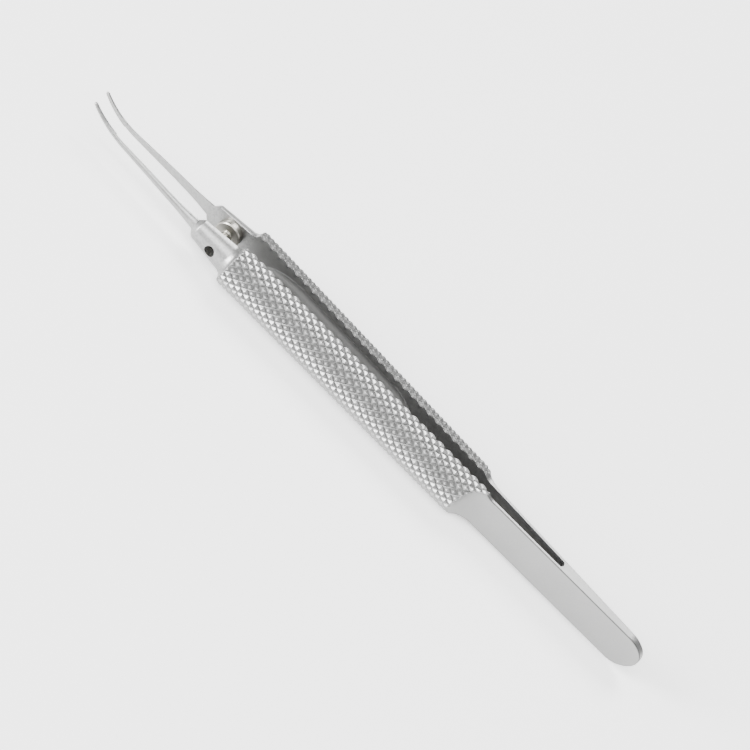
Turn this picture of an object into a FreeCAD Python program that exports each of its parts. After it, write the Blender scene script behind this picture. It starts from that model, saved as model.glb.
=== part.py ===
import FreeCAD, Part
import math
import os

# Micro tying forceps with a round knurled handle, lying on its side, in millimetres.
# X runs from the tips (-X) to the tail (+X), Y is the closing direction and Z is up.
# Each arm is drawn in its own frame: x = 0 where handle and blade meet, y = 0 on the
# inner face with y growing outwards, and z = 0 on the handle's axis.
# The blade has a second frame with the same origin, turned towards the other arm.

V = FreeCAD.Vector

# Lengths along the instrument, from the tail to the tips
spacer_length = 19.0
free_blade_length = 14.25
handle_length = 54.5
nose_length = 7.45
shoulder_length = 0.7
rod_length = 24.1

# Opening of the two arms, at rest
slot_gap = 1.32
blade_tilt = 1.6
handle_tilt = 1.03

# Blade and tail
blade_thickness = 0.5
blade_width = 6.45
blade_rise = 0.12
blade_edge_bevel = 0.12
blade_root_overlap = 0.3
tail_upper_end = 3.6
tail_lower_end = 4.4
tail_nose_radius = 2.4
tail_nose_rise = 0.45
slot_end_hollow = 0.3
near_flat_runout_radius = 4.5
far_flat_runout_radius = 6.5
side_runout_radius = 2.0
early_runout_start = 2.55
late_runout_start = 0.1

# Handle: crest radius of the knurl and its pyramids
handle_radius = 4.1
knurl_pitch = 1.84
knurl_starts = 20
knurl_depth = 0.38

# Scooped pocket in the inner face of each handle, with a long shallow slope at each end
pocket_front_wall = 4.05
pocket_length = 32.1
pocket_half_width = 2.8
pocket_depth = 1.4
pocket_front_slope = 8.0
pocket_rear_slope = 5.8

# Conical nose in front of the handle
nose_rear_radius = 2.9
nose_front_radius = 2.0
nose_corner = 0.25
rod_root_radius = 1.1

# Slender half-round rod and its tip
rod_mid_radius = 0.71
rod_flare_length = 5.0
rod_tip_radius = 0.28
tip_bevel = 0.15
rod_inset = 0.82
rod_inset_start = 0.5
rod_inset_end = 21.5
rod_lift = 0.1
rod_lift_length = 12.0
tip_curve_length = 8.0
tip_curve_radius = 16.0
rod_sections = 11

# Flat tying platform inside each tip
platform_length = 5.7
platform_inset = 1.0

# Stepped stop pin on the far arm and its guide hole in the near arm
pin_from_handle = 3.62
pin_shank_radius = 0.75
pin_shank_length = 1.8
collar_radius = 2.25
collar_height = 1.25
collar_bevel = 0.2
boss_radius = 0.95
boss_height = 0.3
boss_bevel = 0.1
guide_pin_radius = 0.78
guide_pin_length = 4.6
guide_pin_bevel = 0.2
guide_hole_clearance = 0.14

# Places along the arm's own x axis
blade_end = free_blade_length + spacer_length
knurl_front = -handle_length
nose_front = knurl_front - nose_length
rod_start = nose_front - shoulder_length
tip_end = rod_start - rod_length
platform_start = tip_end + platform_length
pin_x = knurl_front - pin_from_handle
pocket_front = knurl_front + pocket_front_wall
tip_curve_start = tip_end + tip_curve_length

# Places in the whole instrument
overall_length = blade_end - tip_end
junction_x = overall_length / 2.0 - blade_end
junction_gap = slot_gap / 2.0 + free_blade_length * math.tan(math.radians(blade_tilt))
blade_angle = blade_tilt - handle_tilt
blade_top = blade_rise + blade_width / 2.0
blade_bottom = blade_rise - blade_width / 2.0
root_radius = handle_radius - knurl_depth
far_outside = 2.0 * handle_radius


def prism(points, direction):
    """A closed outline of straight lines, pushed along a direction."""
    return Part.Face(Part.makePolygon(points + points[:1])).extrude(direction)


def knurled_point(row, column, row_step, column_step):
    """One node of the knurl: pyramid tips and groove crossings take turns."""
    radius = handle_radius if (row + column) % 2 == 0 else root_radius
    angle = column * column_step
    return V(knurl_front + row * row_step, radius * math.sin(angle), radius * math.cos(angle))


def knurled_stock():
    """The half-round handle bar, with every knurl pyramid as four plane facets."""
    rows = round(2.0 * handle_length / knurl_pitch)
    columns = knurl_starts
    row_step = handle_length / rows
    column_step = math.pi / columns
    nodes = [[knurled_point(i, j, row_step, column_step) for j in range(columns + 1)]
             for i in range(rows + 1)]
    faces = []
    for i in range(rows):
        for j in range(columns):
            a, b = nodes[i][j], nodes[i + 1][j]
            c, d = nodes[i + 1][j + 1], nodes[i][j + 1]
            halves = [(a, b, d), (b, c, d)] if (i + j) % 2 == 0 else [(a, b, c), (a, c, d)]
            for half in halves:
                faces.append(Part.Face(Part.makePolygon(list(half) + [half[0]])))
    for end in (nodes[0], nodes[rows]):
        faces.append(Part.Face(Part.makePolygon(end + end[:1])))
    top_edge = [nodes[i][0] for i in range(rows + 1)]
    bottom_edge = [nodes[i][columns] for i in range(rows, -1, -1)]
    faces.append(Part.Face(Part.makePolygon(top_edge + bottom_edge + top_edge[:1])))
    shell = Part.Shell(faces)
    shell.sewShape()
    return Part.Solid(shell)


def runout_cutter(level, start, radius, upwards):
    """Waste beyond a flat at the given level, with a quarter-round run-out to the handle.

    The outline lies in the x-z plane for the blade's sides and is turned for its flat.
    """
    outer = level + upwards * (radius + far_outside)
    arc_end = V(start - radius, 0, level + upwards * radius)
    arc_mid = V(start - radius * math.sin(math.pi / 4.0), 0,
                level + upwards * radius * (1.0 - math.cos(math.pi / 4.0)))
    arc_start = V(start, 0, level)
    beyond = blade_end + far_outside
    corners = [arc_end, V(start - radius, 0, outer), V(beyond, 0, outer), V(beyond, 0, level), arc_start]
    edges = [Part.Arc(arc_start, arc_mid, arc_end).toShape()]
    edges += [Part.makeLine(p, q) for p, q in zip(corners, corners[1:])]
    return Part.Face(Part.Wire(edges)).extrude(V(0, 2.0 * far_outside, 0))


def handle(side):
    """The knurled half bar of the far (1) or near (-1) arm, with the blade's flat and sides run out into it."""
    flat_radius = far_flat_runout_radius if side > 0 else near_flat_runout_radius
    flat = runout_cutter(blade_thickness, 0.0, flat_radius, 1.0)
    flat.rotate(V(0, 0, 0), V(1, 0, 0), -90.0)
    flat.translate(V(0, 0, far_outside))
    top_start = -(early_runout_start if side > 0 else late_runout_start)
    bottom_start = -(early_runout_start if side < 0 else late_runout_start)
    top = runout_cutter(blade_top, top_start, side_runout_radius, 1.0)
    bottom = runout_cutter(blade_bottom, bottom_start, side_runout_radius, -1.0)
    for cutter in (top, bottom):
        cutter.translate(V(0, -far_outside, 0))
    return knurled_stock().cut(flat.fuse([top, bottom]))


def tail_side(side, end_length):
    """One side of the tail's end: where its arc starts, a point on it, and where it meets the nose arc."""
    half = blade_width / 2.0
    reach = half - side * tail_nose_rise
    radius = ((end_length ** 2 + reach ** 2 - 2.0 * end_length * tail_nose_radius)
              / (2.0 * (reach - tail_nose_radius)))
    start = V(blade_end - end_length, 0, side * half)
    centre = V(start.x, 0, side * (half - radius))
    to_touch = (V(blade_end - tail_nose_radius, 0, tail_nose_rise) - centre).normalize()
    to_middle = (to_touch + V(0, 0, side)).normalize()
    return start, centre + to_middle * radius, centre + to_touch * radius


def tail_outline():
    """The blade seen from its flat: straight sides, and an end of three tangent arcs."""
    half = blade_width / 2.0
    upper_root = V(-blade_root_overlap, 0, half)
    lower_root = V(-blade_root_overlap, 0, -half)
    upper_start, upper_middle, upper_touch = tail_side(1.0, tail_upper_end)
    lower_start, lower_middle, lower_touch = tail_side(-1.0, tail_lower_end)
    edges = [Part.makeLine(upper_root, upper_start),
             Part.Arc(upper_start, upper_middle, upper_touch).toShape(),
             Part.Arc(upper_touch, V(blade_end, 0, tail_nose_rise), lower_touch).toShape(),
             Part.Arc(lower_touch, lower_middle, lower_start).toShape(),
             Part.makeLine(lower_start, lower_root), Part.makeLine(lower_root, upper_root)]
    outline = Part.Face(Part.Wire(edges))
    outline.translate(V(0, 0, blade_rise))
    return outline


def blade():
    """The thin spring blade in its own frame, with its outer edges broken."""
    strip = tail_outline().extrude(V(0, blade_thickness, 0))
    outer_edges = [e for e in strip.Edges
                   if e.BoundBox.YMin > blade_thickness / 2.0 and e.BoundBox.XMax > blade_thickness]
    return strip.makeChamfer(blade_edge_bevel, outer_edges)


def nose():
    """The half-conical nose: a flare at the handle and a bevelled shoulder at the rod."""
    flare = root_radius - nose_rear_radius
    slope = (nose_rear_radius - nose_front_radius) / nose_length
    points = [V(knurl_front, 0, root_radius),
              V(knurl_front - 0.3 * flare, 0, nose_rear_radius + 0.3 * flare),
              V(knurl_front - flare, 0, nose_rear_radius),
              V(nose_front + nose_corner, 0, nose_front_radius + slope * nose_corner),
              V(nose_front - nose_corner * shoulder_length, 0, nose_front_radius - nose_corner),
              V(rod_start, 0, rod_root_radius), V(rod_start, 0, 0), V(knurl_front, 0, 0)]
    return Part.Face(Part.makePolygon(points + points[:1])).revolve(V(0, 0, 0), V(1, 0, 0), -180.0)


def rod_radius(x):
    """Straight taper from the tip, then a gentle concave flare up to the shoulder."""
    from_tip = x - tip_end
    flare_from = rod_length - rod_flare_length
    taper = (rod_mid_radius - rod_tip_radius) / flare_from
    radius = rod_tip_radius + taper * from_tip
    if from_tip > flare_from:
        share = (from_tip - flare_from) / rod_flare_length
        straight_end = rod_tip_radius + taper * rod_length
        radius += (rod_root_radius - straight_end) * share * share
    return radius


def rod_centre(x):
    """The rod's centre line: set inwards towards the platform, curved up at the tip."""
    share = (rod_start - x - rod_inset_start) / (rod_inset_end - rod_inset_start)
    share = min(1.0, max(0.0, share))
    inwards = -rod_inset * share * share * (3.0 - 2.0 * share)
    lifted_share = min(1.0, (rod_start - x) / rod_lift_length)
    lift = rod_lift * lifted_share * lifted_share * (3.0 - 2.0 * lifted_share)
    run = max(0.0, tip_curve_start - x)
    rise = tip_curve_radius - math.sqrt(tip_curve_radius ** 2 - run ** 2)
    return V(x, inwards, lift + rise)


def rod_section(x, radius):
    """A circle square to the centre line."""
    step = 0.01
    along = rod_centre(x + step) - rod_centre(x - step)
    return Part.Wire(Part.makeCircle(radius, rod_centre(x), along))


def round_rod():
    """The whole round rod, before its inner side is ground flat."""
    body_end = tip_end + tip_bevel
    places = [rod_start + (body_end - rod_start) * i / (rod_sections - 1) for i in range(rod_sections)]
    body = Part.makeLoft([rod_section(x, rod_radius(x)) for x in places], True, True)
    bevel_radius = rod_radius(body_end) - tip_bevel
    end = Part.makeLoft([rod_section(body_end, rod_radius(body_end)),
                         rod_section(tip_end, bevel_radius)], True, True)
    return body.fuse(end)


def rod():
    """The half-round rod: its inner side is ground flat, and steps out at the platform."""
    inner = V(0, -far_outside, -far_outside)
    platform_rear = V(platform_start, -platform_inset, -far_outside)
    relief_steps = 9
    relief = [platform_start + (rod_start - platform_start) * i / relief_steps for i in range(relief_steps + 1)]
    outline = [V(tip_end - far_outside, -platform_inset, -far_outside), platform_rear]
    outline += [V(x, rod_centre(x).y, -far_outside) for x in relief]
    outline += [V(rod_start + far_outside, 0, -far_outside),
                inner + V(rod_start + far_outside, 0, 0), inner + V(tip_end - far_outside, 0, 0)]
    return round_rod().cut(prism(outline, V(0, 0, 2.0 * far_outside)))


def pocket():
    """The scoop in the inner face: a round-bottomed groove that fades out at both ends."""
    radius = (pocket_half_width ** 2 + pocket_depth ** 2) / (2.0 * pocket_depth)
    axis_y = pocket_depth - radius
    edge_radius = -axis_y
    half_way_radius = edge_radius + 0.75 * pocket_depth
    rear = pocket_front + pocket_length
    corners = [V(pocket_front, edge_radius, 0), V(pocket_front + pocket_front_slope, radius, 0),
               V(rear - pocket_rear_slope, radius, 0), V(rear, edge_radius, 0)]
    front_middle = V(pocket_front + pocket_front_slope / 2.0, half_way_radius, 0)
    rear_middle = V(rear - pocket_rear_slope / 2.0, half_way_radius, 0)
    edges = [Part.Arc(corners[0], front_middle, corners[1]).toShape(),
             Part.makeLine(corners[1], corners[2]),
             Part.Arc(corners[2], rear_middle, corners[3]).toShape(),
             Part.makeLine(corners[3], V(rear, 0, 0)),
             Part.makeLine(V(rear, 0, 0), V(pocket_front, 0, 0)),
             Part.makeLine(V(pocket_front, 0, 0), corners[0])]
    scoop = Part.Face(Part.Wire(edges)).revolve(V(0, 0, 0), V(1, 0, 0), 360.0)
    scoop.translate(V(0, axis_y, 0))
    return scoop


def cross_bore(x, radius, depth):
    """A round tool along y that starts outside the inner face and ends at a depth."""
    return Part.makeCylinder(radius, far_outside + depth, V(x, -far_outside, 0), V(0, 1, 0))


def arm(side, bore):
    """One whole arm in its own frame: rod, nose, handle and blade are one piece."""
    spring_blade = blade()
    spring_blade.rotate(V(0, 0, 0), V(0, 0, 1), -blade_angle)
    body = handle(side).fuse([nose(), rod(), spring_blade])
    return body.cut([pocket(), bore]).removeSplitter()


def stop_pin():
    """The turned pin: shank in the far arm, collar on its inner face, low boss, guide pin."""
    tip_y = -guide_pin_length
    boss_y = -collar_height - boss_height
    points = [V(0, pin_shank_length, 0), V(pin_shank_radius, pin_shank_length, 0),
              V(pin_shank_radius, 0, 0), V(collar_radius, 0, 0),
              V(collar_radius, collar_bevel - collar_height, 0),
              V(collar_radius - collar_bevel, -collar_height, 0), V(boss_radius, -collar_height, 0),
              V(boss_radius, boss_y + boss_bevel, 0), V(boss_radius - boss_bevel, boss_y, 0),
              V(guide_pin_radius, boss_y, 0), V(guide_pin_radius, tip_y + guide_pin_bevel, 0),
              V(guide_pin_radius - guide_pin_bevel, tip_y, 0), V(0, tip_y, 0)]
    turned = Part.Face(Part.makePolygon(points + points[:1])).revolve(V(0, 0, 0), V(0, 1, 0), 360.0)
    turned.translate(V(pin_x, 0, 0))
    return turned


def spacer():
    """The tapered wedge between the two blades, hollowed where the slot ends."""
    slope = math.tan(math.radians(blade_tilt))
    slot_end = junction_x + free_blade_length
    tail_x = junction_x + blade_end
    front_gap = slot_gap / 2.0
    rear_gap = front_gap - slope * spacer_length
    edges = [Part.Arc(V(slot_end, front_gap, 0), V(slot_end + slot_end_hollow, 0, 0),
                      V(slot_end, -front_gap, 0)).toShape(),
             Part.makeLine(V(slot_end, -front_gap, 0), V(tail_x, -rear_gap, 0)),
             Part.makeLine(V(tail_x, -rear_gap, 0), V(tail_x, rear_gap, 0)),
             Part.makeLine(V(tail_x, rear_gap, 0), V(slot_end, front_gap, 0))]
    wedge = Part.Face(Part.Wire(edges)).extrude(V(0, 0, 2.0 * far_outside))
    wedge.translate(V(0, 0, -far_outside))
    side_view = tail_outline().extrude(V(0, 2.0 * slot_gap, 0))
    side_view.translate(V(junction_x, -slot_gap, 0))
    return wedge.common(side_view)


def place(shape, side):
    """From an arm's own frame to the instrument: +1 is the far arm, -1 the near one."""
    shape.rotate(V(0, 0, 0), V(0, 0, 1), -handle_tilt)
    shape.translate(V(junction_x, junction_gap, 0))
    if side < 0:
        shape = shape.mirror(V(0, 0, 0), V(0, 1, 0))
    return lifted(shape)


def lifted(shape):
    """Raised so that the handle's lowest knurl crest rests at z = 0."""
    shape.translate(V(0, 0, handle_radius))
    return shape


lean = math.sin(math.radians(handle_tilt)) * guide_pin_length
hole_x = pin_x - lean / 2.0
shank_bore = cross_bore(pin_x, pin_shank_radius, pin_shank_length)
guide_hole = cross_bore(hole_x, guide_pin_radius + guide_hole_clearance, far_outside)

parts = {
    "near_arm": place(arm(-1, guide_hole), -1),
    "far_arm": place(arm(1, shank_bore), 1),
    "stop_pin": place(stop_pin(), 1),
    "tail_spacer": lifted(spacer()),
}

os.makedirs("parts", exist_ok=True)
for name, shape in parts.items():
    shape.exportStep("parts/" + name + ".step")
    box = shape.BoundBox
    print(name, "solids", len(shape.Solids), "valid", shape.isValid(), "volume", round(shape.Volume, 3),
          "x", round(box.XMin, 3), round(box.XMax, 3), "y", round(box.YMin, 3), round(box.YMax, 3),
          "z", round(box.ZMin, 3), round(box.ZMax, 3))
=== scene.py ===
import math

import bmesh
import bpy
import numpy as np
from mathutils import Matrix, Vector


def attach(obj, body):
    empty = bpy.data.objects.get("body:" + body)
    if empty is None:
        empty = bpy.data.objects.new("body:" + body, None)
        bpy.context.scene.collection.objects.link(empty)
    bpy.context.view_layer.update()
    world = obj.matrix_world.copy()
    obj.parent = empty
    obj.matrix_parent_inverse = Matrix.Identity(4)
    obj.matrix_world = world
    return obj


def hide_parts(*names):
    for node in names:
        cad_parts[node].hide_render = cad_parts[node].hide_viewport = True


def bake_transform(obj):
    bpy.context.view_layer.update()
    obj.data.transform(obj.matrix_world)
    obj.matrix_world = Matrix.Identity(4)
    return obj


# Micro tying forceps. Sizes are in millimetres, as in the part's source, and meshes are in metres.
# Each arm is drawn in its own frame: x = 0 where handle and blade meet, y = 0 on the inner
# face with y growing outwards, and z = 0 on the handle's axis.

spacer_length = 19.0
free_blade_length = 14.25
handle_length = 54.5
nose_length = 7.45
shoulder_length = 0.7
rod_length = 24.1

slot_gap = 1.32
blade_tilt = 1.6
handle_tilt = 1.03

blade_thickness = 0.5
blade_width = 6.45
blade_rise = 0.12
edge_round = 0.14
tail_upper_end = 3.6
tail_lower_end = 4.4
tail_nose_radius = 2.4
tail_nose_rise = 0.45
slot_end_hollow = 0.3
near_flat_runout_radius = 4.5
far_flat_runout_radius = 6.5
side_runout_radius = 2.0
early_runout_start = 2.55
late_runout_start = 0.1

handle_radius = 4.1
knurl_rows = 59
knurl_columns = 20
knurl_depth = 0.38
knurl_samples = 6
crest_round = 0.4
groove_flat = 0.1

pocket_front_wall = 4.05
pocket_length = 32.1
pocket_half_width = 2.8
pocket_depth = 1.4
pocket_front_slope = 8.0
pocket_rear_slope = 5.8

nose_rear_radius = 2.9
nose_front_radius = 2.0
nose_corner = 0.25
rod_root_radius = 1.1

rod_mid_radius = 0.71
rod_flare_length = 5.0
rod_tip_radius = 0.28
tip_round = 0.3
tip_fullness = 0.08
rod_inset = 0.82
rod_inset_start = 0.5
rod_inset_end = 21.5
rod_lift = 0.1
rod_lift_length = 12.0
tip_curve_length = 8.0
tip_curve_radius = 16.0
platform_length = 5.7
platform_inset = 1.0

pin_from_handle = 3.62
pin_shank_radius = 0.75
pin_shank_length = 1.8
collar_radius = 2.25
collar_height = 1.25
collar_bevel = 0.2
boss_radius = 0.95
boss_height = 0.3
boss_bevel = 0.1
guide_pin_radius = 0.78
guide_pin_length = 4.6
guide_pin_bevel = 0.2
guide_hole_clearance = 0.14

# Spacing and number of the meshes' rings and points, and the angles above which their edges are sharp
tip_rings = 7
platform_step = 0.3
rod_step = 0.33
shoulder_step = 0.07
nose_step = 0.35
flare_rings = 9
blade_step = 0.5
tail_step = 1.6
tail_end_rings = 28
tail_end_trim = 0.004
platform_end_width = 0.01
inner_points = 34
wedge_columns = 13
hole_corners = 64
pin_corners = 96
pin_edge_round = 0.05
pin_axis_radius = 0.01
arm_sharp_angle = 40.0
pin_sharp_angle = 50.0
wedge_sharp_angle = 30.0

# Limits of the even grid over the pocket, of the platform's place in the rod and of roundings,
# and what the weld of an arm's two parts looks for
pocket_grid_end = -15.0
pocket_grid_margin = 0.2
platform_lean_limit = 0.9
rounding_share = 0.45
runout_none = 99.0
end_face_corners = 100
seam_tolerance = 0.3
weld_distance = 0.001

# Tones painted on the meshes (0 to 1) and the brightness that the steel gives to them: painted shade on
# rounded edges and in the knurl's grooves, plain, and a painted highlight on the knurl's crests
edge_shade_tone, edge_shade_brightness = 0.0, 0.4
groove_shade_tone, groove_shade_brightness = 0.1, 0.68
plain_tone, plain_brightness = 0.5, 1.0
crest_highlight_tone, crest_highlight_brightness = 1.0, 1.15

# Sizes of the steel's clouds and mottle in metres, how its grain is scaled across the arms, and
# the lowest and highest brightness or roughness that each of them gives
cloud_size = 1.0 / 220.0
mottle_size = 0.00032
grain_stretch = 0.06
cloud_range = (0.93, 1.05)
grain_range = (0.93, 1.05)
mottle_range = (-0.15, 0.2)
gloss_range = (-0.05, 0.06)

blade_end = free_blade_length + spacer_length
knurl_front = -handle_length
nose_front = knurl_front - nose_length
rod_start = nose_front - shoulder_length
tip_end = rod_start - rod_length
platform_start = tip_end + platform_length
pin_x = knurl_front - pin_from_handle
pocket_front = knurl_front + pocket_front_wall
tip_curve_start = tip_end + tip_curve_length
root_radius = handle_radius - knurl_depth
row_step = handle_length / knurl_rows
junction_x = (blade_end - tip_end) / 2.0 - blade_end
junction_gap = slot_gap / 2.0 + free_blade_length * math.tan(math.radians(blade_tilt))
blade_angle = math.radians(blade_tilt - handle_tilt)
hole_x = pin_x - math.sin(math.radians(handle_tilt)) * guide_pin_length / 2.0
seam_x = junction_x + knurl_front
outer_shares = np.linspace(0.0, 1.0, knurl_columns * knurl_samples + 1)
inner_shares = np.linspace(0.0, 1.0, inner_points + 2)[1:-1]

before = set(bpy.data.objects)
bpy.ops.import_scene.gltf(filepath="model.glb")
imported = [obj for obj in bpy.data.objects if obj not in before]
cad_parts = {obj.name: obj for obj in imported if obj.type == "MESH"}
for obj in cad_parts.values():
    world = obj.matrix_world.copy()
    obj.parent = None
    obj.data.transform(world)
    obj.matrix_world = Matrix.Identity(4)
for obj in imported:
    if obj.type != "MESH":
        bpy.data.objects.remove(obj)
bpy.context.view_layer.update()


# Shapes of the arm along its length

def rod_radius(x):
    """Straight taper from the tip, then a gentle concave flare up to the shoulder."""
    from_tip = x - tip_end
    flare_from = rod_length - rod_flare_length
    taper = (rod_mid_radius - rod_tip_radius) / flare_from
    share = max(0.0, (from_tip - flare_from) / rod_flare_length)
    straight_end = rod_tip_radius + taper * rod_length
    radius = rod_tip_radius + taper * from_tip + (rod_root_radius - straight_end) * share * share
    if from_tip < tip_round:
        radius *= math.sqrt(1.0 - (1.0 - tip_fullness) * (1.0 - from_tip / tip_round) ** 2)
    return radius


def rod_centre(x):
    """The rod's centre line: set inwards towards the platform, curved up at the tip."""
    share = (rod_start - x - rod_inset_start) / (rod_inset_end - rod_inset_start)
    share = min(1.0, max(0.0, share))
    lifted = min(1.0, (rod_start - x) / rod_lift_length)
    run = max(0.0, tip_curve_start - x)
    rise = tip_curve_radius - math.sqrt(tip_curve_radius ** 2 - run ** 2)
    rise += rod_lift * lifted * lifted * (3.0 - 2.0 * lifted)
    return np.array([x, -rod_inset * share * share * (3.0 - 2.0 * share), rise])


def nose_radius(x):
    """Radius of the nose: bevelled shoulder, cone and a round flare up to the handle."""
    flare = root_radius - nose_rear_radius
    if x > knurl_front - flare:
        return root_radius - math.sqrt(max(0.0, flare ** 2 - (x - knurl_front + flare) ** 2))
    slope = (nose_rear_radius - nose_front_radius) / nose_length
    corner_x = nose_front - nose_corner * shoulder_length
    corner_radius = nose_front_radius - nose_corner
    if x >= nose_front + nose_corner:
        return nose_front_radius + slope * (x - nose_front)
    if x >= corner_x:
        share = (x - corner_x) / (nose_front + nose_corner - corner_x)
        top = nose_front_radius + slope * nose_corner
        return corner_radius + (top - corner_radius) * math.sin(share * math.pi / 2.0)
    share = (x - rod_start) / (corner_x - rod_start)
    return rod_root_radius + (corner_radius - rod_root_radius) * share


def knurl_height(x, angles):
    """0 in the flat bottoms of the grooves and 1 on the crests, at one place along the handle."""
    row = (x - knurl_front) / row_step
    column = angles / (math.pi / knurl_columns)
    p = (row + column) / 2.0
    q = (row - column) / 2.0
    across_p = np.abs(2.0 * (p - np.round(p)))
    across_q = np.abs(2.0 * (q - np.round(q)))
    slope = np.minimum(1.0, np.maximum(across_p, across_q) / (1.0 - groove_flat))
    top = math.sqrt(1.0 + crest_round ** 2)
    return (top - np.sqrt(slope ** 2 + crest_round ** 2)) / (top - crest_round)


def runout(x, level, start, radius):
    """Level of a milled face, with its quarter-round run-out in front of start and none before that."""
    before = np.clip(start - x, 0.0, None)
    if before >= radius:
        return runout_none
    return level + radius - math.sqrt(radius ** 2 - before ** 2)


def blade_reach(x, side):
    """How far the blade reaches to its upper (1) or lower (-1) side: straight, then two tangent arcs."""
    half = blade_width / 2.0
    end_length = tail_upper_end if side > 0 else tail_lower_end
    straight_end = blade_end - end_length
    if x <= straight_end:
        return half
    rise = side * tail_nose_rise
    reach = half - rise
    side_radius = ((end_length ** 2 + reach ** 2 - 2.0 * end_length * tail_nose_radius)
                   / (2.0 * (reach - tail_nose_radius)))
    nose_centre = blade_end - tail_nose_radius
    touch = nose_centre + tail_nose_radius * (nose_centre - straight_end) / (side_radius - tail_nose_radius)
    if x < touch:
        return half - side_radius + math.sqrt(side_radius ** 2 - (x - straight_end) ** 2)
    return rise + math.sqrt(max(0.0, tail_nose_radius ** 2 - (x - nose_centre) ** 2))


def pocket_at(x, z):
    """Depth of the scoop in the inner face."""
    radius = (pocket_half_width ** 2 + pocket_depth ** 2) / (2.0 * pocket_depth)
    from_front = (x - pocket_front) / pocket_front_slope
    from_rear = (pocket_front + pocket_length - x) / pocket_rear_slope
    share = min(1.0, max(0.0, min(from_front, from_rear)))
    here = radius - pocket_depth + pocket_depth * share * (2.0 - share)
    return np.clip(np.sqrt(np.clip(here ** 2 - z ** 2, 0.0, None)) - radius + pocket_depth, 0.0, None)


# Sections: the outer curve of an arm at one place, from its upper edge round to its lower edge

def rod_section(x):
    step = 0.01
    centre = rod_centre(x)
    along = rod_centre(x + step) - rod_centre(x - step)
    outward = np.array([-along[1], along[0], 0.0])
    upward = np.array([-along[2], 0.0, along[0]])
    outward /= np.linalg.norm(outward)
    upward /= np.linalg.norm(upward)
    radius = rod_radius(x)
    ground = -platform_inset - centre[1] if x < platform_start else 0.0
    lean = math.asin(max(-platform_lean_limit, min(platform_lean_limit, ground / radius)))
    angles = lean + (math.pi - 2.0 * lean) * outer_shares
    return centre + radius * (np.outer(np.sin(angles), outward) + np.outer(np.cos(angles), upward))


def nose_section(x):
    angles = math.pi * outer_shares
    radius = nose_radius(x)
    return np.stack([np.full_like(angles, x), radius * np.sin(angles), radius * np.cos(angles)], -1)


def stock_section(x, side):
    """Handle and blade: the round knurled stock, milled flat on its outside and both sides."""
    angles = math.pi * outer_shares
    height = knurl_height(x, angles) if x <= 0.0 else np.zeros_like(angles)
    radius = np.minimum(root_radius + knurl_depth * height, root_radius + x - knurl_front)
    if x > 0.0:
        radius = np.full_like(angles, handle_radius)
    y = radius * np.sin(angles)
    z = radius * np.cos(angles)
    top_start = -(early_runout_start if side > 0 else late_runout_start)
    bottom_start = -(early_runout_start if side < 0 else late_runout_start)
    flat_radius = far_flat_runout_radius if side > 0 else near_flat_runout_radius
    flat = runout(x, blade_thickness, 0.0, flat_radius)
    if blade_end - x < edge_round:
        flat += math.sqrt(edge_round ** 2 - (edge_round - blade_end + x) ** 2) - edge_round
    upper = blade_rise + runout(x, blade_reach(x, 1), top_start, side_runout_radius)
    lower = blade_rise - runout(x, blade_reach(x, -1), bottom_start, side_runout_radius)
    rounding = min(edge_round, rounding_share * (upper - lower))
    near_y = np.minimum(y, flat - rounding)
    near_z = np.clip(z, lower + rounding, upper - rounding)
    away = np.hypot(y - near_y, z - near_z)
    keep = np.minimum(1.0, rounding / np.maximum(away, 1e-9))
    milled = keep < 1.0
    cornered = milled & (y > flat - rounding) & ((z < lower + rounding) | (z > upper - rounding))
    y = near_y + (y - near_y) * keep
    z = near_z + (z - near_z) * keep
    # Painted light tones: painted shade in the knurl's grooves rising to a painted highlight on its crests,
    # plain on milled faces and the blade, and painted shade along the rounded edges
    light_tones = np.where(milled | (x > 0.0), plain_tone, groove_shade_tone + (crest_highlight_tone - groove_shade_tone) * height)
    return np.stack([np.full_like(y, x), y, z], -1), np.where(cornered, edge_shade_tone, light_tones)


# Meshes

def ring(outer, x, fixed_width):
    """Closes an outer curve with points across the inner face, from its lower to its upper edge."""
    top, bottom = outer[0], outer[-1]
    across = bottom + np.outer(inner_shares, top - bottom)
    if fixed_width:
        half_grid = pocket_half_width + pocket_grid_margin
        z = (2.0 * inner_shares - 1.0) * half_grid / (1.0 - 2.0 * inner_shares[0])
        across[:, 2] = z
        across[:, 1] += pocket_at(x, z)
    return np.vstack([outer, across])


def skin(rings, side, heights=None):
    """Faces between rings of equal length. Where heights are given, quads split on the lower diagonal."""
    count = len(rings[0])
    rows = len(rings)
    faces = []
    for s in range(rows - 1):
        knurled = heights is not None and heights[s] is not None and heights[s + 1] is not None
        for k in range(count):
            following = (k + 1) % count
            a, b = s * count + k, (s + 1) * count + k
            c, d = (s + 1) * count + following, s * count + following
            if not knurled or k + 1 >= len(heights[s]):
                faces.append((a, b, c, d))
            elif heights[s][k] + heights[s + 1][k + 1] < heights[s + 1][k] + heights[s][k + 1]:
                faces += [(a, b, c), (a, c, d)]
            else:
                faces += [(a, b, d), (b, c, d)]
    faces.append(tuple(range(count)))
    faces.append(tuple(range(rows * count - 1, (rows - 1) * count - 1, -1)))
    return faces if side > 0 else [face[::-1] for face in faces]


def to_world(points, side):
    """From an arm's own frame in millimetres to the instrument's in metres."""
    tilt = math.radians(handle_tilt)
    x = points[:, 0] * math.cos(tilt) + points[:, 1] * math.sin(tilt) + junction_x
    y = points[:, 1] * math.cos(tilt) - points[:, 0] * math.sin(tilt) + junction_gap
    return np.stack([x, side * y, points[:, 2] + handle_radius], -1) * 0.001


def new_object(name, points, faces, light_tones=None):
    mesh = bpy.data.meshes.new(name)
    mesh.from_pydata(points.tolist(), [], faces)
    mesh.update()
    if light_tones is not None:
        mesh.attributes.new("painted_light_tone", "FLOAT", "POINT").data.foreach_set("value", light_tones.astype(np.float32))
    piece = bpy.data.objects.new(name, mesh)
    bpy.context.scene.collection.objects.link(piece)
    return piece


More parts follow.
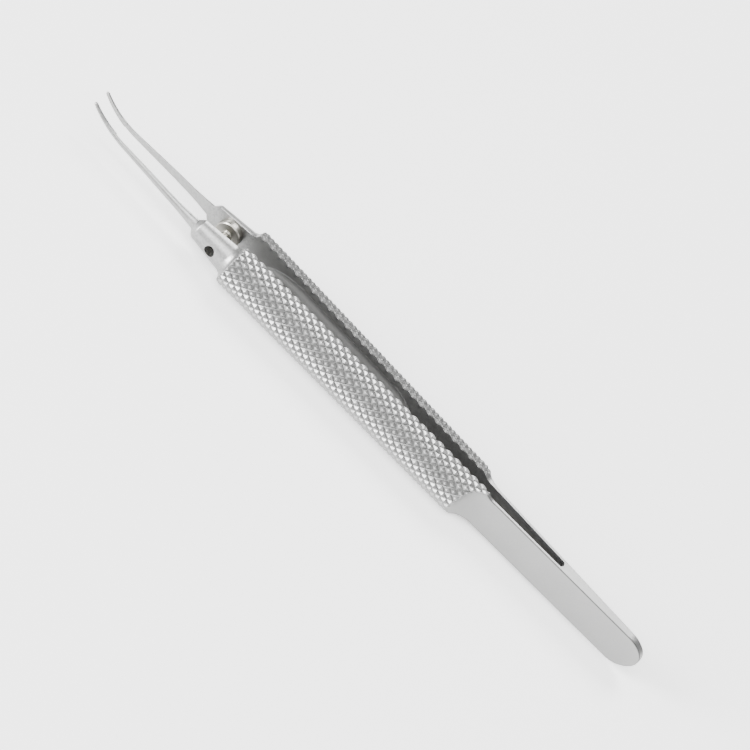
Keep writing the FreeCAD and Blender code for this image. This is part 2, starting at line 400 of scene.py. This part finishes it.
def paint(piece, name, level):
    """One level of a named tone all over a piece."""
    layer = piece.data.attributes.new(name, "FLOAT", "POINT")
    layer.data.foreach_set("value", [level] * len(piece.data.vertices))


def spaced(start, end, step):
    return list(np.linspace(start, end, max(2, round(abs(end - start) / step) + 1)))


def front_part(side):
    """Rod, shoulder and nose, closed at both ends; the near arm's has the guide hole."""
    tip_turns = np.linspace(0.0, math.pi / 2.0, tip_rings)
    tip = [tip_end + tip_round * (1.0 - math.cos(t)) for t in tip_turns]
    rod_places = tip + spaced(tip[-1], platform_start - platform_end_width / 2.0, platform_step)[1:]
    rod_places += spaced(platform_start + platform_end_width / 2.0, rod_start, rod_step)
    corner = spaced(nose_front - nose_corner * shoulder_length, nose_front + nose_corner, shoulder_step)
    flare = root_radius - nose_rear_radius
    flare_turns = np.linspace(0.0, math.pi / 2.0, flare_rings)
    flare_places = [knurl_front - flare + flare * math.sin(t) for t in flare_turns]
    nose_places = corner + spaced(corner[-1], knurl_front - flare, nose_step)[1:-1] + flare_places
    outers = [(x, rod_section(x)) for x in rod_places] + [(x, nose_section(x)) for x in nose_places]
    rings = [ring(outer, x, x == nose_places[-1]) for x, outer in outers]
    piece = new_object("front", to_world(np.vstack(rings), side), skin(rings, side))
    if side < 0:
        bore_guide_hole(piece, side)
    return piece


def circle(x, y, radius, corners):
    """A round ring about an axis that points outwards."""
    turns = np.linspace(0.0, 2.0 * math.pi, corners + 1)[:-1]
    return np.stack([x + radius * np.cos(turns), np.full_like(turns, y), radius * np.sin(turns)], -1)


def bore_guide_hole(piece, side):
    """Cuts the hole for the guide pin right through the nose."""
    inside, outside = -3.0, 6.0
    radius = guide_pin_radius + guide_hole_clearance
    rings = [circle(hole_x, y, radius, hole_corners) for y in (inside, outside)]
    tool = new_object("guide_hole_tool", to_world(np.vstack(rings), side), skin(rings, side))
    fix_normals(tool.data)
    fix_normals(piece.data)
    cut = piece.modifiers.new("guide_hole", "BOOLEAN")
    cut.object = tool
    cut.operation = "DIFFERENCE"
    cut.solver = "EXACT"
    bpy.context.view_layer.update()
    bored = bpy.data.meshes.new_from_object(piece.evaluated_get(bpy.context.evaluated_depsgraph_get()))
    piece.modifiers.clear()
    piece.data = bored
    bpy.data.objects.remove(tool)


def fix_normals(mesh):
    work = bmesh.new()
    work.from_mesh(mesh)
    bmesh.ops.recalc_face_normals(work, faces=work.faces)
    work.to_mesh(mesh)
    work.free()


def tail_places():
    """Stations from the slot's end to the tail's end, closer together where the end is round."""
    turns = np.linspace(0.0, math.pi / 2.0, tail_end_rings + 1)[1:-1]
    places = spaced(free_blade_length, blade_end - tail_lower_end, tail_step)
    places += [blade_end - tail_lower_end * (1.0 - math.sin(t)) for t in turns]
    return places + [blade_end - tail_end_trim]


def rear_part(side):
    """Knurled handle, run-outs, spring blade and tail."""
    places = list(np.linspace(knurl_front, 0.0, knurl_rows * knurl_samples + 1))
    places += spaced(0.0, free_blade_length, blade_step)[1:]
    places += tail_places()[1:]
    rings, heights, light_tones = [], [], []
    for x in places:
        outer, outer_light_tones = stock_section(x, side)
        heights.append(np.hypot(outer[:, 1], outer[:, 2]) if x <= 0.0 else None)
        points = ring(outer, x, x < pocket_grid_end)
        if x > 0.0:
            y = points[:, 1].copy()
            points[:, 1] = y * math.cos(blade_angle) - x * math.sin(blade_angle)
            points[:, 0] = x * math.cos(blade_angle) + y * math.sin(blade_angle)
        rings.append(points)
        light_tones.append(np.concatenate([outer_light_tones, np.full(len(inner_shares), plain_tone)]))
    points = to_world(np.vstack(rings), side)
    return new_object("rear", points, skin(rings, side, heights), np.concatenate(light_tones))


def join(name, pieces):
    """One closed skin from a front and a rear part, welded where they meet."""
    work = bmesh.new()
    for piece in pieces:
        work.from_mesh(piece.data)
        bpy.data.objects.remove(piece)
    ends = [face for face in work.faces if len(face.verts) > end_face_corners
            and abs(face.calc_center_median().x - seam_x * 0.001) < seam_tolerance * 0.001]
    bmesh.ops.delete(work, geom=ends, context="FACES_ONLY")
    borders = [vert for vert in work.verts if vert.is_boundary]
    bmesh.ops.remove_doubles(work, verts=borders, dist=weld_distance * 0.001)
    mesh = bpy.data.meshes.new(name)
    work.to_mesh(mesh)
    work.free()
    joined = bpy.data.objects.new(name, mesh)
    bpy.context.scene.collection.objects.link(joined)
    return joined


def shade(piece, sharp_angle):
    piece.data.shade_smooth()
    piece.data.set_sharp_from_angle(angle=math.radians(sharp_angle))


def arm(name, node, side):
    front = front_part(side)
    rear = rear_part(side)
    paint(front, "painted_light_tone", plain_tone)
    paint(front, "blasted", 1.0)
    paint(rear, "blasted", 0.0)
    piece = join(name, [front, rear])
    shade(piece, arm_sharp_angle)
    piece.data.materials.append(satin_steel)
    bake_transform(piece)
    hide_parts(node)
    return piece


def rounded(points, radius, steps=4):
    """An open outline with each inner corner rounded, by a share of its shorter side at most."""
    result = [points[0]]
    for before, corner, after in zip(points, points[1:], points[2:]):
        shorter = min((corner - before).length, (after - corner).length)
        reach = min(radius, rounding_share * shorter)
        a = corner + (before - corner).normalized() * reach
        b = corner + (after - corner).normalized() * reach
        for i in range(steps + 1):
            t = i / steps
            result.append(a.lerp(corner, t).lerp(corner.lerp(b, t), t))
    return result + [points[-1]]


def stop_pin():
    """The turned pin: shank in the far arm, wide collar on its inner face, low boss, slim guide pin."""
    tip = -guide_pin_length
    boss = -collar_height - boss_height
    corners = [(0.0, pin_shank_length), (pin_shank_radius, pin_shank_length), (pin_shank_radius, 0.0),
               (collar_radius, 0.0), (collar_radius, collar_bevel - collar_height),
               (collar_radius - collar_bevel, -collar_height), (boss_radius, -collar_height),
               (boss_radius, boss + boss_bevel), (boss_radius - boss_bevel, boss),
               (guide_pin_radius, boss), (guide_pin_radius, tip + guide_pin_bevel),
               (guide_pin_radius - guide_pin_bevel, tip), (0.0, tip)]
    outline = rounded([Vector(corner) for corner in corners], pin_edge_round)
    rings = [circle(pin_x, p.y, max(p.x, pin_axis_radius), pin_corners) for p in outline]
    piece = new_object("turned_stop_pin", to_world(np.vstack(rings), 1), skin(rings, 1))
    fix_normals(piece.data)
    shade(piece, pin_sharp_angle)
    piece.data.materials.append(pin_steel)
    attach(piece, "far_jaw")
    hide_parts("stop_pin")
    return piece


def spacer():
    """The tapered wedge between the two blades, hollowed where the slot ends."""
    slope = math.tan(math.radians(blade_tilt))
    across = np.linspace(-1.0, 1.0, wedge_columns)
    rings = []
    for index, x in enumerate(tail_places()):
        gap = slot_gap / 2.0 - slope * (x - free_blade_length)
        hollow = slot_end_hollow * (1.0 - across ** 2) if index == 0 else np.zeros_like(across)
        level = np.full_like(across, blade_rise + blade_reach(x, 1))
        top = np.stack([junction_x + x + hollow, across * gap, level], -1)
        bottom = top[::-1].copy()
        bottom[:, 2] = blade_rise - blade_reach(x, -1)
        rings.append(np.vstack([top, bottom]))
    points = np.vstack(rings)
    points[:, 2] += handle_radius
    piece = new_object("tail_wedge", points * 0.001, skin(rings, 1))
    fix_normals(piece.data)
    paint(piece, "painted_light_tone", plain_tone)
    shade(piece, wedge_sharp_angle)
    piece.data.materials.append(satin_steel)
    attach(piece, "tail")
    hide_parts("tail_spacer")
    return piece


# Materials

def add_noise(tree, vector, grain_size, detail):
    """Noise of grains of the given size in metres."""
    noise = tree.nodes.new("ShaderNodeTexNoise")
    noise.inputs["Scale"].default_value = 1.0 / grain_size
    noise.inputs["Detail"].default_value = detail
    tree.links.new(vector, noise.inputs["Vector"])
    return noise.outputs["Fac"]


def add_range(tree, value, low, high, from_low=0.3, from_high=0.7):
    """Spreads a noise's usual values over the range from low to high."""
    spread = tree.nodes.new("ShaderNodeMapRange")
    spread.inputs["From Min"].default_value = from_low
    spread.inputs["From Max"].default_value = from_high
    spread.inputs["To Min"].default_value = low
    spread.inputs["To Max"].default_value = high
    tree.links.new(value, spread.inputs["Value"])
    return spread.outputs["Result"]


def add_product(tree, first, second, added=0.0):
    """Two values multiplied, plus a constant."""
    product = tree.nodes.new("ShaderNodeMath")
    product.operation = "MULTIPLY_ADD"
    product.inputs[2].default_value = added
    tree.links.new(first, product.inputs[0])
    tree.links.new(second, product.inputs[1])
    return product.outputs["Value"]


def add_painted(tree, name):
    """The tone of that name painted on the mesh."""
    painted = tree.nodes.new("ShaderNodeAttribute")
    painted.attribute_name = name
    return painted.outputs["Fac"]


def steel(name, base, roughness, grain_size, grain_depth, painted):
    """Satin steel with a fine grain that turns into crosswise lines on the narrow sides.

    Where the pieces are painted with tones, edges and grooves get painted shade, the knurl's crests a
    painted highlight, and blasted areas are mottled.
    """
    material = bpy.data.materials.new(name)
    material.use_nodes = True
    tree = material.node_tree
    shader = tree.nodes["Principled BSDF"]
    shader.inputs["Metallic"].default_value = 1.0

    place = tree.nodes.new("ShaderNodeTexCoord").outputs["Object"]
    stretch = tree.nodes.new("ShaderNodeMapping")
    stretch.inputs["Scale"].default_value = (1.0, grain_stretch, 1.0)
    tree.links.new(place, stretch.inputs["Vector"])
    grain = add_noise(tree, stretch.outputs["Vector"], grain_size, 3.0)
    cloud = add_noise(tree, place, cloud_size, 4.0)
    brightness = add_product(tree, add_range(tree, cloud, *cloud_range, 0.0, 1.0),
                             add_range(tree, grain, *grain_range))

    if painted:
        # Painted shade on rounded edges and in the knurl's grooves and a painted highlight on its crests,
        # set by the painted tone
        painted_light_ramp = tree.nodes.new("ShaderNodeValToRGB")
        stops = painted_light_ramp.color_ramp.elements
        stops[0].position, stops[1].position = edge_shade_tone, crest_highlight_tone
        stops.new(groove_shade_tone)
        stops.new(plain_tone)
        levels = (edge_shade_brightness, groove_shade_brightness, plain_brightness, crest_highlight_brightness)
        for stop, level in zip(stops, levels):
            stop.color = (level, level, level, 1.0)
        tree.links.new(add_painted(tree, "painted_light_tone"), painted_light_ramp.inputs["Fac"])
        brightness = add_product(tree, brightness, painted_light_ramp.outputs["Color"])
        mottle = add_range(tree, add_noise(tree, place, mottle_size, 2.0), *mottle_range)
        blasted = add_product(tree, mottle, add_painted(tree, "blasted"), 1.0)
        brightness = add_product(tree, brightness, blasted)

    colour = tree.nodes.new("ShaderNodeVectorMath")
    colour.operation = "SCALE"
    colour.inputs[0].default_value = base
    tree.links.new(brightness, colour.inputs["Scale"])
    tree.links.new(colour.outputs["Vector"], shader.inputs["Base Color"])
    gloss = add_range(tree, grain, roughness + gloss_range[0], roughness + gloss_range[1])
    tree.links.new(gloss, shader.inputs["Roughness"])

    bump = tree.nodes.new("ShaderNodeBump")
    bump.inputs["Strength"].default_value = 1.0
    bump.inputs["Distance"].default_value = grain_depth
    tree.links.new(grain, bump.inputs["Height"])
    tree.links.new(bump.outputs["Normal"], shader.inputs["Normal"])
    return material


def floor_material():
    material = bpy.data.materials.new("pale_floor")
    material.use_nodes = True
    nodes = material.node_tree.nodes
    shader = nodes["Principled BSDF"]
    shader.inputs["Roughness"].default_value = 0.9
    shader.inputs["Specular IOR Level"].default_value = 0.1
    shader.inputs["Emission Color"].default_value = (1.0, 1.0, 1.0, 1.0)
    shader.inputs["Emission Strength"].default_value = 0.75
    cloud = nodes.new("ShaderNodeTexNoise")
    cloud.inputs["Scale"].default_value = 3.0
    ramp = nodes.new("ShaderNodeValToRGB")
    ramp.color_ramp.elements[0].color = (0.93, 0.93, 0.93, 1.0)
    ramp.color_ramp.elements[1].color = (0.95, 0.95, 0.95, 1.0)
    material.node_tree.links.new(cloud.outputs["Fac"], ramp.inputs["Fac"])
    material.node_tree.links.new(ramp.outputs["Color"], shader.inputs["Base Color"])
    return material


# Stage, light and camera

def add_floor():
    half = 1.5
    corners = np.array([(-half, -half, 0.0), (half, -half, 0.0), (half, half, 0.0), (-half, half, 0.0)])
    floor = new_object("floor", corners, [(0, 1, 2, 3)])
    floor.data.materials.append(floor_material())


def add_area_light(name, place, target, size, power):
    light = bpy.data.lights.new(name, "AREA")
    light.shape = "RECTANGLE"
    light.size, light.size_y = size
    light.energy = power
    lamp = bpy.data.objects.new(name, light)
    bpy.context.scene.collection.objects.link(lamp)
    lamp.location = place
    lamp.rotation_euler = (Vector(target) - Vector(place)).to_track_quat("-Z", "Y").to_euler()


def add_world():
    world = bpy.data.worlds.new("studio")
    world.use_nodes = True
    sky = world.node_tree.nodes["Background"]
    sky.inputs["Color"].default_value = (1.0, 1.0, 1.0, 1.0)
    sky.inputs["Strength"].default_value = 0.6
    bpy.context.scene.world = world


def add_camera():
    """Seen from 42 degrees above, from the side of the near arm, and rolled as in the photograph."""
    elevation = math.radians(42.0)
    roll = math.radians(45.87)
    shift_right = 0.0015
    shift_up = 0.001422
    distance = 1.2
    view_width = 0.11556
    looking = Vector((0.0, math.cos(elevation), -math.sin(elevation)))
    rising = Vector((0.0, math.sin(elevation), math.cos(elevation)))
    along = Vector((1.0, 0.0, 0.0))
    right = along * math.cos(roll) + rising * math.sin(roll)
    up = rising * math.cos(roll) - along * math.sin(roll)
    centre = Vector((0.0, 0.0, handle_radius * 0.001)) + right * shift_right + up * shift_up
    camera = bpy.data.cameras.new("camera")
    camera.sensor_width = 36.0
    camera.lens = camera.sensor_width * distance / view_width
    camera.clip_start = 0.05
    holder = bpy.data.objects.new("camera", camera)
    bpy.context.scene.collection.objects.link(holder)
    turn = Matrix((right, up, -looking)).transposed().to_4x4()
    holder.matrix_world = Matrix.Translation(centre - looking * distance) @ turn
    bpy.context.scene.camera = holder


satin_steel = steel("satin_steel", (0.312, 0.312, 0.309), 0.37, 0.00012, 0.000012, True)
pin_steel = steel("pin_steel", (0.295, 0.286, 0.26), 0.32, 0.00015, 0.000008, False)

arm("near_arm_ground", "near_arm", -1)
arm("far_arm_ground", "far_arm", 1)
stop_pin()
spacer()

add_floor()
add_world()
add_area_light("overhead", (-0.1, 0.5, 0.7), (0.0, 0.0, 0.0), (0.45, 0.45), 9.0)
add_area_light("front_left", (-0.8, -0.55, 0.4), (0.0, 0.0, 0.0), (0.4, 0.4), 19.0)
add_area_light("low_left", (-0.7, -0.65, 0.14), (0.0, 0.0, 0.0), (0.5, 0.2), 10.0)
add_area_light("front", (-0.1, -0.55, 0.85), (0.0, 0.0, 0.0), (0.9, 0.7), 14.0)
add_area_light("right_fill", (0.85, -0.2, 0.42), (0.03, 0.0, 0.0), (0.5, 0.5), 4.5)
add_camera()
